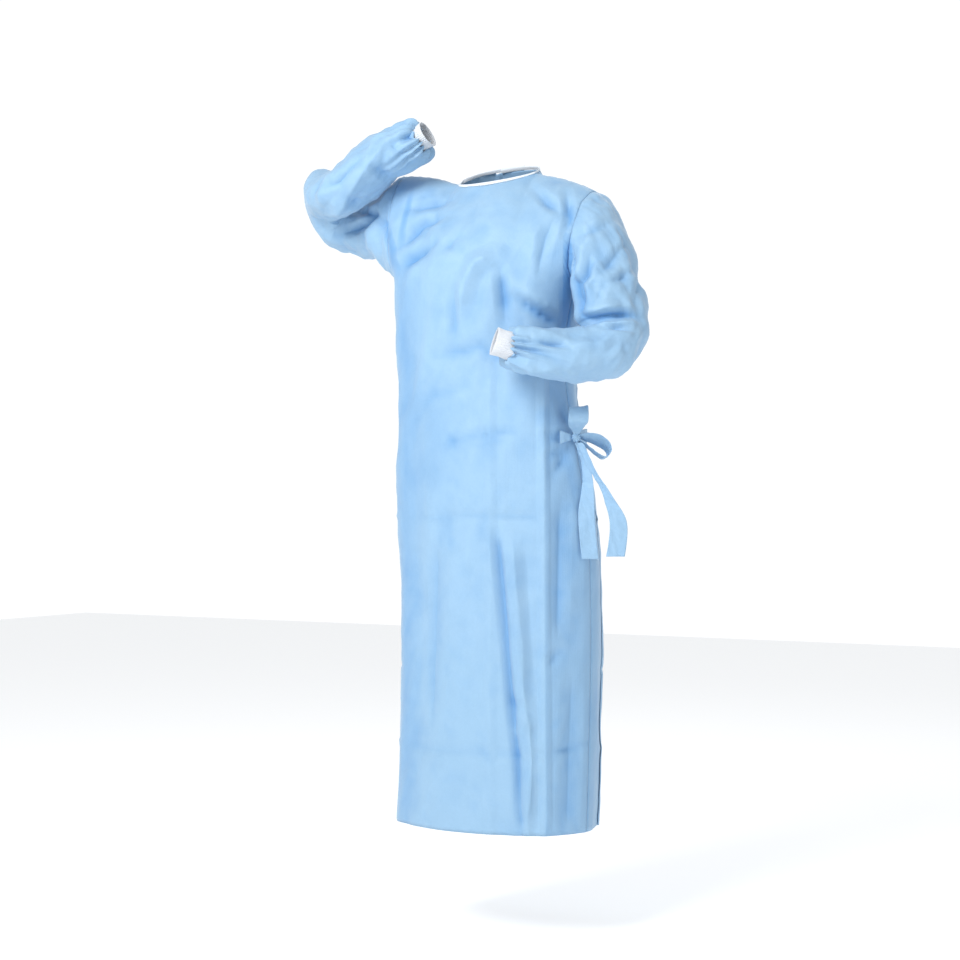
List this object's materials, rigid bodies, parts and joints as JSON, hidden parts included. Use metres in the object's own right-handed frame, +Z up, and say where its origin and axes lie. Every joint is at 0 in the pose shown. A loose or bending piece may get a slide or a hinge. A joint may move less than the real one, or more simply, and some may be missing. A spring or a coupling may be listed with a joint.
{
  "type": "surgical gown",
  "caption": "Light blue disposable surgical gown in its worn pose, hollow, with white knit cuffs, a bound neck and a waist tie bow; one sleeve raised, one across the waist.",
  "frame": {"origin": "middle of the neck opening, level with the shoulders that hold the gown up", "axes": "+Z up along the gown's length, -Y the front, +X the wearer's left"},
  "size_m": [0.7605, 0.379, 1.3232],
  "materials": {
    "light_blue_nonwoven": "matte",
    "white_knit": "matte",
    "white_binding": "matte"
  },
  "bodies": {
    "root": {"front_panel": "light_blue_nonwoven", "left_back_panel": "light_blue_nonwoven", "right_back_panel": "light_blue_nonwoven", "left_sleeve": "light_blue_nonwoven", "right_sleeve": "light_blue_nonwoven", "bow_knot": "light_blue_nonwoven", "bow_upper_loop": "light_blue_nonwoven", "bow_rear_loop": "light_blue_nonwoven", "left_tail": "light_blue_nonwoven", "right_tail": "light_blue_nonwoven", "front_tie_root": "light_blue_nonwoven", "flap_tie": "light_blue_nonwoven", "left_cuff": "white_knit", "right_cuff": "white_knit", "neck_binding": "white_binding", "neck_closure": "white_binding"}
  },
  "joints": []
}
